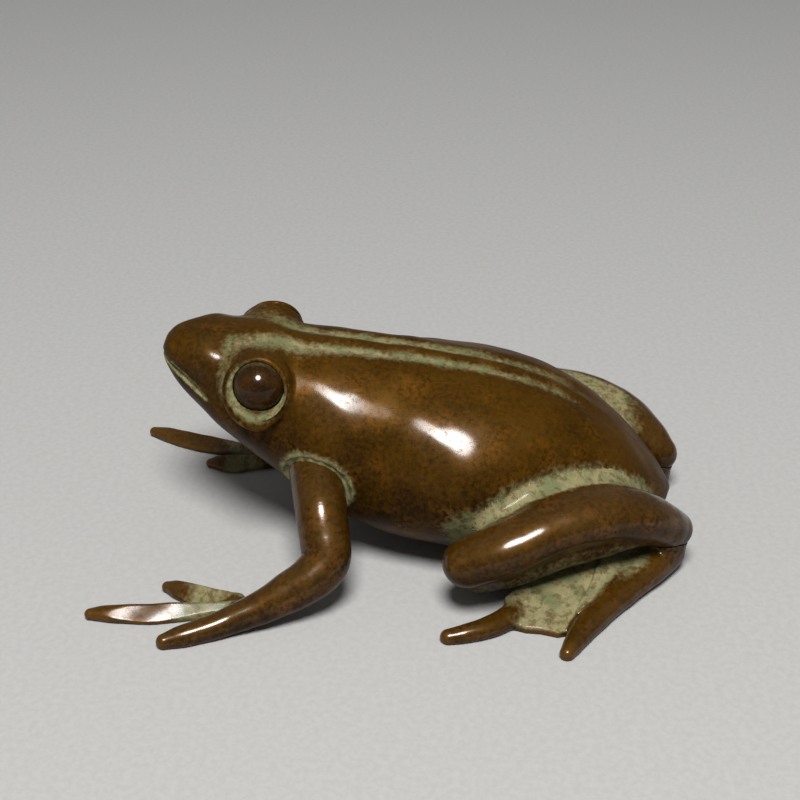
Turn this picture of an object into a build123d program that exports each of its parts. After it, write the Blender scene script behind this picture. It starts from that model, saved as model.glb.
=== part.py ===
from build123d import *
import math
import os

# A small cast bronze frog, sitting up on its front legs. It faces -Y, +X is its left side and Z = 0 is the
# table that it stands on. It is put together as a foundry does it: a hollow body casting, four legs and two
# hind feet cast apart and let in with tenons, pins through the tenons, eyes set in sockets, and a plate over
# the hole that the casting core came out of. All sizes are in millimetres.

# Body form: one row for each upright cross-section, from the snout back to the rump.
BODY_SECTIONS = (
    # y, height of the back, height of the belly, half width, height of the widest line
    (-23.3, 20.3, 18.9, 0.8, 19.6),
    (-22.9, 21.15, 18.1, 1.75, 19.6),
    (-21.8, 21.9, 16.4, 3.1, 19.1),
    (-20.0, 22.3, 14.4, 4.4, 18.3),
    (-17.5, 22.5, 11.9, 5.75, 17.2),
    (-13.5, 22.3, 8.6, 7.1, 15.5),
    (-9.0, 21.3, 5.4, 8.3, 13.2),
    (-3.0, 20.7, 2.2, 10.2, 10.4),
    (4.0, 19.8, 0.9, 11.5, 8.8),
    (11.0, 18.3, 0.8, 11.3, 8.0),
    (17.0, 15.8, 0.8, 10.0, 7.2),
    (22.0, 12.0, 1.2, 7.4, 6.2),
    (25.3, 8.4, 2.2, 4.4, 5.2),
    (27.0, 6.0, 3.7, 1.8, 4.9),
    (27.4, 5.4, 4.4, 0.8, 4.9),
)
SQUARENESS = 2.3
RING_POINTS = 20
BODY_STEP = 2.0
LIMB_STEP = 1.6
CAP_TURNS = (78, 52, 26)

# Core cavity and the plate that closes it from below.
WALL = 2.2
CAVITY_FRONT_Y, CAVITY_REAR_Y = -11.0, 20.0
PLATE_MIDDLE_Y = 7.0
PLATE_LENGTH, PLATE_WIDTH = 18.0, 9.0
PLATE_THICKNESS = 1.3
LEDGE_WIDTH = 1.4
PLATE_PIN_RADIUS = 0.4
PLATE_PIN_BITE = 0.6
PLATE_PIN_SPACING = 8.0

# Eyes: a bead on a stem, let into a round lid that swells out of the head.
EYE_Y, EYE_Z = -13.2, 18.7
EYE_OUT = 6.65
EYE_RADIUS = 2.55
LID_ROOT_X, LID_ROOT_RADIUS = 1.5, 2.2
LID_FACE_X = 7.6
LID_RADIUS = 3.6
LID_ROUND = 0.8
STEM_RADIUS = 0.8
STEM_LENGTH = 2.7

# Fits: play all round a bead, stem, tenon, pin or plate in its seat.
PLAY = 0.05
TENON_REACH = 3.0
TENON_PIN_INSET = 0.9
TENON_PIN_RADIUS = 0.4
TENON_PIN_OVERHANG = 0.6

# Front legs: shoulder on the flank, then the elbow, the wrist and three finger tips. The forearm runs on into
# the outer finger. The right forearm is turned in further than the left one. Both are given as for the left.
SHOULDER_Y, SHOULDER_Z = -8.0, 10.9
SHOULDER_RADIUS = 2.7
SHOULDER_SINK = 2.2
FRONT_TENON_RADIUS = 1.5
UPPER_ARM = (
    # x, y, z and radius
    (12.0, -7.0, 8.8, 2.5),
    (14.2, -6.45, 6.7, 2.4),
)
ELBOW_X, ELBOW_Y, ELBOW_Z, ELBOW_RADIUS = 15.5, -6.4, 5.2, 2.3
FOREARM_ROOT_RADIUS = 2.1
FOREARM = (
    # share of the way from elbow to wrist, how far it bows outward and down, radius
    (0.18, 0.5, 0.45, 2.15),
    (0.48, 0.35, 0.5, 1.95),
    (0.78, 0.2, 0.3, 1.6),
)
WRIST_Y, WRIST_Z, WRIST_RADIUS = -13.8, 1.65, 1.42
LEFT_WRIST_X, RIGHT_WRIST_X = 19.3, 13.6
OUTER_FINGER = (
    # share of the way from wrist to tip, radius
    (0.4, 1.22),
    (0.75, 1.08),
    (1.0, 0.78),
)
OUTER_FINGER_DROP = 0.45
PALM_REACH = 1.1
PALM_HALF_WIDTH, PALM_HALF_HEIGHT = 1.05, 0.95
FINGER_INSETS = (2.3, 3.5)
FINGER_Z = 0.55
LEFT_FINGER_TIPS = (
    # x and y of the tip
    (22.3, -20.9),
    (18.3, -28.6),
    (13.6, -22.0),
)
RIGHT_FINGER_TIPS = (
    (18.7, -20.0),
    (16.2, -28.6),
    (9.6, -21.2),
)
FINGER_SHAPE = (
    # share of the way from palm to tip, half width, half height
    (0.0, 0.75, 0.7),
    (0.25, 1.0, 0.82),
    (0.55, 1.55, 0.82),
    (0.82, 1.2, 0.7),
    (1.0, 0.6, 0.5),
)

# Hind legs: a thigh along the flank with the shank folded under it, both from the heel forward to the knee.
HEEL_X, HEEL_Y, HEEL_Z, HEEL_RADIUS = 7.2, 27.4, 4.5, 1.8
THIGH_ROWS = (
    # y, how far the middle of the limb stands out from the flank, height, half width, half height
    (23.7, 3.7, 7.5, 2.9, 2.2),
    (19.3, 2.5, 8.7, 3.2, 2.4),
    (15.0, 2.6, 8.5, 3.2, 2.45),
    (10.6, 3.8, 7.2, 2.9, 2.4),
    (7.2, 4.2, 5.7, 2.6, 2.3),
)
SHANK_ROWS = (
    (26.2, 4.9, 5.2, 1.6, 1.5),
    (23.9, 3.0, 6.0, 2.2, 1.9),
    (19.5, 2.0, 5.9, 2.4, 2.0),
    (15.2, 2.3, 5.4, 2.4, 2.0),
    (12.0, 3.3, 4.3, 2.3, 2.0),
    (8.6, 4.2, 3.2, 2.2, 2.0),
)
HIP_Y, HIP_Z = 16.0, 7.8
HIND_TENON_RADIUS = 1.6

# Hind feet: an outer ridge that ends in the short toe, a long toe, and a web that slopes down between them.
FOOT_ROOT_X, FOOT_ROOT_Y, FOOT_ROOT_Z, FOOT_ROOT_RADIUS = 7.3, 26.7, 1.9, 1.85
SHORT_TOE = (
    # x, y, z, half width, half height
    (9.5, 25.0, 1.5, 1.85, 1.6),
    (12.2, 22.5, 1.1, 1.85, 1.4),
    (15.4, 20.1, 0.85, 1.6, 1.25),
    (18.9, 18.0, 0.65, 1.28, 1.05),
)
LONG_TOE = (
    (14.4, 13.0, 0.5, 1.0, 0.9),
    (16.5, 11.6, 0.8, 1.35, 1.05),
    (18.8, 9.4, 0.75, 1.15, 0.95),
)
SHORT_TOE_X, SHORT_TOE_Y = 22.3, 16.4
LONG_TOE_X, LONG_TOE_Y = 20.3, 5.4
TOE_TIP_RADIUS = 0.8
TOE_Z = 0.5
WEB_CORNER_X, WEB_CORNER_Y = 18.6, 19.0
WEB_NOTCH_X, WEB_NOTCH_Y = 18.6, 14.8
WEB_FRONT_X, WEB_FRONT_Y, WEB_FRONT_HEIGHT = 15.7, 11.0, 1.2
WEB_TOE_X, WEB_TOE_Y = 18.2, 11.0
WEB_EDGE_THICKNESS = 0.8
INSTEP_X, INSTEP_Y = 12.7, 15.2
INSTEP_HEIGHT = 3.2
FOOT_PEG_RADIUS = 0.7
FOOT_PEG_BITE = 2.0

BELOW = 40.0


# Shapes that the pieces share

def smooth_rows(rows, step):
    """Rows about one step apart, on a smooth line through the given rows."""
    places = [0.0]
    for low, high in zip(rows, rows[1:]):
        places.append(places[-1] + math.dist(low, high))
    last = len(rows) - 1
    slopes = []
    for i in range(last + 1):
        low, high = max(i - 1, 0), min(i + 1, last)
        span = places[high] - places[low]
        slopes.append([(b - a) / span for a, b in zip(rows[low], rows[high])])
    fine = []
    for i in range(last):
        span = places[i + 1] - places[i]
        count = max(1, round(span / step))
        for part in range(count):
            t = part / count
            rise = t * t * (3 - 2 * t)
            leave, arrive = span * t * (1 - t) ** 2, span * t * t * (t - 1)
            fine.append(tuple(
                a + rise * (b - a) + leave * da + arrive * db
                for a, b, da, db in zip(rows[i], rows[i + 1], slopes[i], slopes[i + 1])
            ))
    fine.append(tuple(rows[last]))
    return fine


def limb(rows):
    """A tapered limb with round ends, through (x, y, z, half width, half height) rows."""
    rows = smooth_rows(rows, LIMB_STEP)
    points = [Vector(*row[:3]) for row in rows]
    last = len(rows) - 1

    def ring(i, out=0.0, turn=0.0):
        way = (points[min(i + 1, last)] - points[max(i - 1, 0)]).normalized()
        across, up = rows[i][3:]
        shrink = math.cos(math.radians(turn))
        middle = points[i] + way * (out * across * math.sin(math.radians(turn)))
        plane = Plane(origin=middle, x_dir=way.cross(Vector(0, 0, 1)), z_dir=way)
        return Wire.make_ellipse(across * shrink, up * shrink, plane)

    start = [ring(0, -1, turn) for turn in CAP_TURNS]
    end = [ring(last, 1, turn) for turn in reversed(CAP_TURNS)]
    return Solid.make_loft([*start, *(ring(i) for i in range(last + 1)), *end], ruled=True)


def round_rows(rows):
    """Rows of x, y, z and one radius, for a limb that is as high as it is wide."""
    return [(*row, row[-1]) for row in rows]


def cylinder_between(start, end, radius):
    """A round bar from one point to another."""
    start, end = Vector(start), Vector(end)
    return Plane(origin=start, z_dir=end - start) * Cylinder(
        radius, (end - start).length, align=(Align.CENTER, Align.CENTER, Align.MIN)
    )


def floor_cut():
    """Everything below the table."""
    return Pos(0, 0, -BELOW / 2) * Box(4 * BELOW, 4 * BELOW, BELOW)


def both_sides(name, left):
    """A left piece and its mirror image, by node name."""
    return {f"left_{name}": left, f"right_{name}": mirror(left, about=Plane.YZ)}


# Body form

BODY_ROWS = smooth_rows(BODY_SECTIONS, BODY_STEP)


def body_at(y):
    """Back, belly, half width and widest height of the body at y."""
    for low, high in zip(BODY_ROWS, BODY_ROWS[1:]):
        if low[0] <= y <= high[0]:
            share = (y - low[0]) / (high[0] - low[0])
            return tuple(a + share * (b - a) for a, b in zip(low[1:], high[1:]))
    return BODY_ROWS[-1][1:]


def flank(y, z):
    """How far out the body's side is at y and z."""
    back, belly, half_width, widest = body_at(y)
    reach = back - widest if z > widest else widest - belly
    rise = min(1.0, abs(z - widest) / reach)
    return half_width * (1 - rise**SQUARENESS) ** (1 / SQUARENESS)


def body_ring(y, back, belly, half_width, widest):
    """One upright cross-section of the body, a rounded box taller above its widest line than below."""
    points = []
    for step in range(RING_POINTS):
        turn = 2 * math.pi * step / RING_POINTS
        across, up = math.sin(turn), math.cos(turn)
        reach = back - widest if up > 0 else widest - belly
        x = half_width * math.copysign(abs(across) ** (2 / SQUARENESS), across)
        z = widest + reach * math.copysign(abs(up) ** (2 / SQUARENESS), up)
        points.append((x, y, z))
    return Wire([Edge.make_spline(points, periodic=True)])


def body_form():
    """The outside of the body and head, without eyes or legs."""
    return Solid.make_loft([body_ring(*row) for row in BODY_ROWS], ruled=True)


def core_cavity():
    """The space that the casting core left, one wall inside the body form."""
    places = [row[0] for row in BODY_ROWS if CAVITY_FRONT_Y < row[0] < CAVITY_REAR_Y]
    rings = []
    for y in (CAVITY_FRONT_Y, *places, CAVITY_REAR_Y):
        back, belly, half_width, widest = body_at(y)
        rings.append(body_ring(y, back - WALL, belly + WALL, half_width - WALL, widest))
    return Solid.make_loft(rings, ruled=True)


# Legs

def tenon_ends(y, z):
    """Where a leg's tenon leaves the flank and where it ends inside the cavity."""
    out = flank(y, z)
    return (out, y, z), (out - WALL - TENON_REACH, y, z)


def tenon(y, z, radius, play=0.0):
    """The round tenon of a leg, rooted a radius deep in the leg."""
    root, end = tenon_ends(y, z)
    return cylinder_between((root[0] + radius, y, z), (end[0] - play, y, z), radius + play)


def tenon_pin(y, z, tenon_radius, play=0.0):
    """The upright pin through a tenon, just inside the wall."""
    x = tenon_ends(y, z)[1][0] + TENON_PIN_INSET
    half = tenon_radius + TENON_PIN_OVERHANG
    return cylinder_between((x, y, z - half), (x, y, z + half), TENON_PIN_RADIUS + play)


def arm(wrist_x, tip_x, tip_y):
    """Upper arm, forearm and the outer finger that it runs on into."""
    shoulder_x = flank(SHOULDER_Y, SHOULDER_Z) - SHOULDER_SINK
    elbow, wrist = Vector(ELBOW_X, ELBOW_Y, ELBOW_Z), Vector(wrist_x, WRIST_Y, WRIST_Z)
    upper = [(shoulder_x, SHOULDER_Y, SHOULDER_Z, SHOULDER_RADIUS), *UPPER_ARM, (*elbow, ELBOW_RADIUS)]
    lower = [(*elbow, FOREARM_ROOT_RADIUS)]
    for share, out, down, radius in FOREARM:
        lower.append((*(elbow + (wrist - elbow) * share + Vector(out, 0, -down)), radius))
    lower.append((*wrist, WRIST_RADIUS))
    knuckle, tip = wrist - Vector(0, 0, OUTER_FINGER_DROP), Vector(tip_x, tip_y, FINGER_Z)
    for share, radius in OUTER_FINGER:
        lower.append((*(knuckle + (tip - knuckle) * share), radius))
    return limb(round_rows(upper)) + limb(round_rows(lower))


def finger(root, tip_x, tip_y):
    """One leaf-shaped finger, from the palm to its tip."""
    tip = Vector(tip_x, tip_y, FINGER_Z)
    rows = []
    for share, half_width, half_height in FINGER_SHAPE:
        rows.append((*(root + (tip - root) * share), half_width, half_height))
    return limb(rows)


def front_leg(body, wrist_x, finger_tips):
    """Arm, palm and three fingers, flat under the hand, with a tenon at the shoulder."""
    outer_tip, *leaf_tips = finger_tips
    roots = [Vector(wrist_x - inset, WRIST_Y - PALM_REACH, FINGER_Z) for inset in FINGER_INSETS]
    palm_places = [*reversed(roots), Vector(wrist_x, WRIST_Y, FINGER_Z)]
    palm = limb([(*place, PALM_HALF_WIDTH, PALM_HALF_HEIGHT) for place in palm_places])
    fingers = [finger(root, *tip) for root, tip in zip(roots, leaf_tips)]
    leg = arm(wrist_x, *outer_tip) + palm + fingers - floor_cut() - body
    leg += tenon(SHOULDER_Y, SHOULDER_Z, FRONT_TENON_RADIUS)
    return leg - tenon_pin(SHOULDER_Y, SHOULDER_Z, FRONT_TENON_RADIUS, PLAY)


def hind_roll():
    """The thigh and the shank folded under it, from the heel to the knee."""
    def along_flank(table):
        return [(flank(y, z) + out, y, z, width, height) for y, out, z, width, height in table]

    thigh = limb([(HEEL_X, HEEL_Y, HEEL_Z, HEEL_RADIUS, HEEL_RADIUS), *along_flank(THIGH_ROWS)])
    return thigh + limb(along_flank(SHANK_ROWS))


def foot_peg(play=0.0):
    """The upright peg that joins a foot to the heel above it."""
    foot = (FOOT_ROOT_X, FOOT_ROOT_Y, FOOT_ROOT_Z)
    top = FOOT_ROOT_Z + FOOT_ROOT_RADIUS + FOOT_PEG_BITE + play
    return cylinder_between(foot, (FOOT_ROOT_X, FOOT_ROOT_Y, top), FOOT_PEG_RADIUS + play)


def hind_leg(roll, body):
    """The roll, hollowed where it lies against the flank, with its tenon and the hole for the foot's peg."""
    leg = roll - body
    leg += tenon(HIP_Y, HIP_Z, HIND_TENON_RADIUS)
    return leg - tenon_pin(HIP_Y, HIP_Z, HIND_TENON_RADIUS, PLAY) - foot_peg(PLAY)


def web():
    """The skin between the toes, which falls from the instep to a thin outer edge."""
    def upright(*posts):
        foot = [(x, y, 0) for x, y, height in posts]
        return Wire.make_polygon([*foot, *reversed(posts)], close=True)

    rear = (FOOT_ROOT_X, FOOT_ROOT_Y, INSTEP_HEIGHT)
    instep = (INSTEP_X, INSTEP_Y, INSTEP_HEIGHT)
    front = (WEB_FRONT_X, WEB_FRONT_Y, WEB_FRONT_HEIGHT)
    corner = (WEB_CORNER_X, WEB_CORNER_Y, WEB_EDGE_THICKNESS)
    notch = (WEB_NOTCH_X, WEB_NOTCH_Y, WEB_EDGE_THICKNESS)
    toe = (WEB_TOE_X, WEB_TOE_Y, WEB_EDGE_THICKNESS)
    rear_half = Solid.make_loft([upright(rear, instep), upright(corner, notch)], ruled=True)
    front_half = Solid.make_loft([upright(instep, front), upright(notch, toe)], ruled=True)
    return rear_half + front_half


def hind_foot(roll, body):
    """Outer ridge with the short toe, long toe, and the web between them, flat on the table."""
    heel = (FOOT_ROOT_X, FOOT_ROOT_Y, FOOT_ROOT_Z, FOOT_ROOT_RADIUS, FOOT_ROOT_RADIUS)
    tip = (TOE_Z, TOE_TIP_RADIUS, TOE_TIP_RADIUS)
    short_toe = limb([heel, *SHORT_TOE, (SHORT_TOE_X, SHORT_TOE_Y, *tip)])
    long_toe = limb([*LONG_TOE, (LONG_TOE_X, LONG_TOE_Y, *tip)])
    foot = web() + short_toe + long_toe - floor_cut() - roll - body
    return foot + foot_peg()


# Eyes, plate and pins

def eye(play=0.0):
    """A bead with its stem, on the left."""
    middle = (EYE_OUT, EYE_Y, EYE_Z)
    stem_end = (EYE_OUT - EYE_RADIUS - STEM_LENGTH - play, EYE_Y, EYE_Z)
    bead = Plane(origin=middle, z_dir=(1, 0, 0)) * Sphere(EYE_RADIUS + play)
    return bead + cylinder_between(middle, stem_end, STEM_RADIUS + play)


def eyelid():
    """The swollen lid around an eye, with a rounded rim, on the left."""
    lid = Plane(origin=(LID_ROOT_X, EYE_Y, EYE_Z), z_dir=(1, 0, 0)) * Cone(
        LID_ROOT_RADIUS, LID_RADIUS, LID_FACE_X - LID_ROOT_X, align=(Align.CENTER, Align.CENTER, Align.MIN)
    )
    rim = lid.edges().filter_by(GeomType.CIRCLE).sort_by(Axis.X)[-1]
    return fillet(rim, LID_ROUND)


def stadium(length, width, top):
    """An upright prism with round ends, from below the table up, along Y at the belly plate's place."""
    outline = Pos(0, PLATE_MIDDLE_Y) * SlotOverall(length, width, rotation=90)
    return Pos(0, 0, -BELOW) * extrude(outline, BELOW + top)


def plate_top():
    """Height of the ledge that the belly plate lies against."""
    return body_at(PLATE_MIDDLE_Y)[1] + PLATE_THICKNESS


def plate_pins(play=0.0):
    """Upright pins through the plate's rim into the ledge."""
    x = (PLATE_WIDTH - LEDGE_WIDTH) / 2
    top = plate_top() + PLATE_PIN_BITE + play
    pins = []
    for side in (-x, x):
        for y in (PLATE_MIDDLE_Y - PLATE_PIN_SPACING / 2, PLATE_MIDDLE_Y + PLATE_PIN_SPACING / 2):
            pins.append(cylinder_between((side, y, -BELOW), (side, y, top), PLATE_PIN_RADIUS + play))
    return pins


def body_casting(body):
    """The hollow body with its lids, and the seats for the eyes, tenons, plate and pins."""
    lid = eyelid()
    front_seat = tenon(SHOULDER_Y, SHOULDER_Z, FRONT_TENON_RADIUS, PLAY)
    hind_seat = tenon(HIP_Y, HIP_Z, HIND_TENON_RADIUS, PLAY)
    opening_length, opening_width = PLATE_LENGTH - 2 * LEDGE_WIDTH, PLATE_WIDTH - 2 * LEDGE_WIDTH
    casting = body + lid + mirror(lid, about=Plane.YZ) - core_cavity()
    casting -= stadium(PLATE_LENGTH, PLATE_WIDTH, plate_top())
    casting -= stadium(opening_length, opening_width, body_at(PLATE_MIDDLE_Y)[3])
    casting -= plate_pins(PLAY)
    for seat in (eye(PLAY), front_seat, hind_seat):
        casting = casting - seat - mirror(seat, about=Plane.YZ)
    return casting


def belly_plate(body):
    """The plate, shaped to the belly outside and flat inside, with its pin holes."""
    plate = body & stadium(PLATE_LENGTH - 2 * PLAY, PLATE_WIDTH - 2 * PLAY, plate_top())
    return plate - plate_pins(PLAY)


def main():
    body = body_form()
    roll = hind_roll()
    nodes = {
        "body_casting": body_casting(body),
        "belly_plate": belly_plate(body),
        "belly_plate_pins": Compound(children=[pin & body for pin in plate_pins()]),
        **both_sides("eye", eye()),
        "left_front_leg": front_leg(body, LEFT_WRIST_X, LEFT_FINGER_TIPS),
        "right_front_leg": mirror(front_leg(body, RIGHT_WRIST_X, RIGHT_FINGER_TIPS), about=Plane.YZ),
        **both_sides("front_leg_pin", tenon_pin(SHOULDER_Y, SHOULDER_Z, FRONT_TENON_RADIUS)),
        **both_sides("hind_leg", hind_leg(roll, body)),
        **both_sides("hind_leg_pin", tenon_pin(HIP_Y, HIP_Z, HIND_TENON_RADIUS)),
        **both_sides("hind_foot", hind_foot(roll, body)),
    }
    os.makedirs("parts", exist_ok=True)
    for name, shape in nodes.items():
        export_step(shape, f"parts/{name}.step")
        print(name, "volume", round(shape.volume, 1), "size", shape.bounding_box().size)


main()
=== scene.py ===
import math

import bpy
import numpy as np
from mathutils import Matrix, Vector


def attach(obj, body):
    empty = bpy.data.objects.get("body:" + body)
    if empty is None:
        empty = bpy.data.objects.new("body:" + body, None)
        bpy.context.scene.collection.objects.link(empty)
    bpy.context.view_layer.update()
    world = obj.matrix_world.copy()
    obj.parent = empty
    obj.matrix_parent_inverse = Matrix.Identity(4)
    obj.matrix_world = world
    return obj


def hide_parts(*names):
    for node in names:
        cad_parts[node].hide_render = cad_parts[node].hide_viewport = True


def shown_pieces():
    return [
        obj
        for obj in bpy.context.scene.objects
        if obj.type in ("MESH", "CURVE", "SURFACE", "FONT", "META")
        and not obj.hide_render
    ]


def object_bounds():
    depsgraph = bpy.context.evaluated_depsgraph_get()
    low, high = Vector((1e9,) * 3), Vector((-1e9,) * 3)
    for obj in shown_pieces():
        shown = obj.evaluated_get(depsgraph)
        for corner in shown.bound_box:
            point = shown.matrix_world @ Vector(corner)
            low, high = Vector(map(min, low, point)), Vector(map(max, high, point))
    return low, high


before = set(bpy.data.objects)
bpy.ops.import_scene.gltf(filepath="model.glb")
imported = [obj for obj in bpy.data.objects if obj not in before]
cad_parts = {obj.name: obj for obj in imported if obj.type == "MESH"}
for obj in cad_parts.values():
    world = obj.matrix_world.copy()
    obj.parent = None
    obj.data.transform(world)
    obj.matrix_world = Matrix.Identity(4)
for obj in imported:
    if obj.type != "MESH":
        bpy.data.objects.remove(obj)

import openvdb
from mathutils import Vector

cad_low, cad_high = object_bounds()

# Body casting: the hollow bronze trunk and head, cast in one with the swollen eyelids. Back, mouth and
# nostrils were worked in the wax. Seats for the eyes, leg tenons and belly plate were cut after casting.
# The frog faces -Y, +X is its left side, and its shapes are in millimetres, as distances from a surface.
MM = 0.001
BODY_VOXEL = 0.15
BODY_BOX = ((-13.0, -24.2, -0.2), (13.0, 28.2, 24.4))
BODY_SECTIONS = (
    # y, height of the back, height of the belly, half width, height of the widest line
    (-23.45, 19.85, 19.35, 0.25, 19.6),
    (-23.3, 20.3, 18.9, 0.8, 19.6),
    (-22.9, 21.15, 18.1, 1.75, 19.6),
    (-21.8, 21.9, 16.4, 3.1, 19.1),
    (-20.0, 22.3, 14.4, 4.4, 18.3),
    (-17.5, 22.4, 11.9, 5.75, 17.2),
    (-13.5, 22.3, 8.6, 7.1, 15.5),
    (-9.0, 21.3, 5.4, 8.3, 13.2),
    (-3.0, 20.7, 2.2, 10.2, 10.4),
    (4.0, 19.8, 0.9, 11.5, 8.8),
    (11.0, 18.3, 0.8, 11.3, 8.0),
    (17.0, 15.8, 0.8, 10.0, 7.2),
    (22.0, 12.0, 1.2, 7.4, 6.2),
    (25.3, 8.4, 2.2, 4.4, 5.2),
    (27.0, 6.0, 3.7, 1.8, 4.9),
    (27.4, 5.4, 4.4, 0.8, 4.9),
    (27.55, 5.05, 4.75, 0.25, 4.9),
)
SQUARENESS = 2.3
BODY_STEP, LIMB_STEP = 0.1, 0.25

# Planes that bound the body under the head and beside the tail: a place on each, and its slope
UNDER_HEAD_Y, UNDER_HEAD_Z, UNDER_HEAD_SLOPE = -3.0, 1.0, 0.7
BESIDE_TAIL_X, BESIDE_TAIL_Y, BESIDE_TAIL_SLOPE = 7.6, 22.0, 0.9

# Core cavity, the ledge of the belly plate and the leg tenons' seats
WALL = 2.2
CAVITY_FRONT_Y, CAVITY_REAR_Y = -11.0, 20.0
PLATE_MIDDLE_Y = 7.0
PLATE_LENGTH, PLATE_WIDTH = 18.0, 9.0
PLATE_THICKNESS = 1.3
LEDGE_WIDTH = 1.4
PLATE_PIN_RADIUS = 0.4
PLATE_PIN_BITE = 0.6
PLATE_PIN_SPACING = 8.0
PLAY = 0.05
TENON_REACH = 3.0
FRONT_TENON_RADIUS, HIND_TENON_RADIUS = 1.5, 1.6
HIP_Y, HIP_Z = 16.0, 7.8

# Head: lids and eye sockets, mouth line, nostrils
EYE = np.array((6.4, -13.2, 19.15))
EYE_RADIUS = 2.45
SOCKET_EDGE = 0.1
STEM_RADIUS, STEM_LENGTH = 0.8, 2.7
LID_RADIUS, LID_ROUND, LID_FACE_X = 3.6, 0.7, 7.35
LID_ROOT_X, LID_ROOT_RADIUS = 1.5, 2.2
LID_TILT, LID_LOOK = 0.2, 0.42
LID_SQUASH = 1.12
LID_BLEND = 0.4
LID_TOP_BLEND, LID_TOP_Z, LID_TOP_RISE = 1.4, 20.4, 1.2
LIP_X, LIP_RADIUS = 7.3, 2.68
LIP_THIN, LIP_THICK, LIP_BLEND = 0.12, 0.27, 0.12
LIP_THICKEST_UP, LIP_THICKEST_REARWARD = 0.85, 0.5
MOUTH = (
    # x, y, z, half width, half height of the cut
    (0.0, -23.5, 19.6, 0.2, 0.2),
    (1.2, -23.1, 19.55, 0.2, 0.2),
    (2.15, -22.5, 19.3, 0.22, 0.22),
    (3.4, -21.3, 18.75, 0.3, 0.3),
    (4.3, -20.0, 17.9, 0.32, 0.32),
    (5.1, -18.7, 16.9, 0.16, 0.16),
)
MOUTH_EDGE = 0.12
NOSTRIL = np.array((2.36, -21.78, 21.19))
NOSTRIL_REACH, NOSTRIL_DEPTH = 0.42, 0.42

# Back: a strip raised along the spine, with a hollow on each side, as pairs of y and width or depth
STRIP_HALF_WIDTH = (
    (-21.0, 2.5), (-17.5, 2.3), (-14.5, 1.7), (-11.0, 0.9), (-6.0, 0.6), (2.0, 0.4), (19.0, 0.35),
)
HOLLOW_DEPTH = (
    (-18.5, 0.0), (-16.0, 0.18), (-12.0, 0.28), (-4.0, 0.34), (8.0, 0.34), (17.0, 0.24), (21.0, 0.0),
)
HOLLOW_HALF_WIDTH = 0.95
STRIP_RISE, STRIP_REACH = 0.08, 18.0
BACK_RISE = 2.0

# Swellings of shoulder, flank and snout, and hollows of waist and upper flank: place, reach and height
SWELLINGS = (
    ((7.9, -7.6, 11.6), (6.0, 2.6, 4.2), 1.0),
    ((10.8, 7.2, 10.4), (6.0, 4.4, 4.5), 1.3),
    ((3.6, -18.7, 21.0), (2.2, 1.5, 1.8), 0.42),
    ((9.2, -1.6, 16.0), (6.0, 2.2, 5.0), -0.3),
    ((5.4, 3.0, 18.2), (3.2, 8.5, 3.0), -0.5),
)
WAVE_COUNT, WAVE_SPREAD = 14, 1.1
WAVER = 0.01

# Where the legs lie on the body, as limbs of x, y, z, half width and half height
SHOULDER_Y, SHOULDER_Z, SHOULDER_RADIUS, SHOULDER_SINK = -8.0, 10.9, 2.7, 2.2
UPPER_ARM = ((12.0, -7.0, 8.8, 2.5, 2.5), (14.2, -6.45, 6.7, 2.4, 2.4))
ELBOW = (15.5, -6.4, 5.2, 2.3, 2.3)
HEEL = (7.2, 27.35, 4.5, 1.8, 1.8)
THIGH_ROWS = (
    # y, how far the middle of the limb stands out from the flank, height, half width, half height
    (23.7, 3.7, 7.5, 2.9, 2.2),
    (19.3, 2.5, 8.7, 3.2, 2.4),
    (15.0, 2.6, 8.5, 3.2, 2.45),
    (10.6, 3.9, 7.2, 2.9, 2.4),
    (7.2, 4.5, 5.7, 2.6, 2.3),
)
SHANK_ROWS = (
    (26.2, 4.9, 5.2, 1.6, 1.5),
    (23.9, 3.0, 6.0, 2.2, 1.9),
    (19.5, 2.0, 5.9, 2.4, 2.0),
    (15.2, 2.3, 5.4, 2.4, 2.0),
    (12.0, 3.3, 4.3, 2.3, 2.0),
    (8.6, 4.2, 3.2, 2.2, 2.0),
)
FOLD_BLEND = 1.6

# The ragged seam raised round each shoulder, and the groove inside it
SEAM_OUT, SEAM_RISE, SEAM_WIDTH = 0.6, 0.2, 0.26
SEAM_RAGGED = 0.7
SEAM_WAVES = ((3.1, 2.3), (-2.9, 1.7))
GROOVE_OUT, GROOVE_DEPTH, GROOVE_WIDTH = 0.1, 0.16, 0.25

# Verdigris beside the spine by y, wider on the brow, round the eye, on the cheek, at mouth, seam and leg
SPINE_STAIN = (
    (-18.0, 0.0), (-16.5, 0.75), (-10.0, 1.0), (5.0, 0.9), (16.0, 0.6), (21.0, 0.0),
)
SPINE_STAIN_OUTER, SPINE_STAIN_INNER = 1.3, 0.85
BROW_Y, BROW_REACH, BROW_SPREAD = -13.5, 4.0, 1.05
RIGHT_BROW_Y, RIGHT_BROW_REACH, RIGHT_BROW_LESS = -15.0, 6.0, 0.4
RING_RADIUS, RING_WIDTH, RING_FROM_X = 2.6, 0.5, 5.0
RING_BELOW, RING_FALL = 1.35, 1.1
CHEEK_RADIUS, CHEEK_WIDTH, CHEEK_FROM_X, CHEEK_STAIN = 3.9, 0.6, 3.0, 0.5
CHEEK_END_Y, CHEEK_FADE = EYE[1] + 0.5, 2.0
MOUTH_STAIN_WIDTH = 0.3
SEAM_STAIN_OUT, SEAM_STAIN_WIDTH = 0.45, 0.5
TROUGH_START, TROUGH_REACH = 0.8, 1.4

# Where the wax is buffed brightest, on shoulder, flank and snout: place and reach
BUFFED = (
    ((7.6, -5.7, 17.5), (4.0, 2.0, 2.4)),
    ((10.1, 5.2, 15.4), (4.0, 3.4, 2.6)),
    ((4.1, -18.0, 21.2), (2.4, 2.4, 2.4)),
)
LEAST_BUFFED = 0.05

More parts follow.
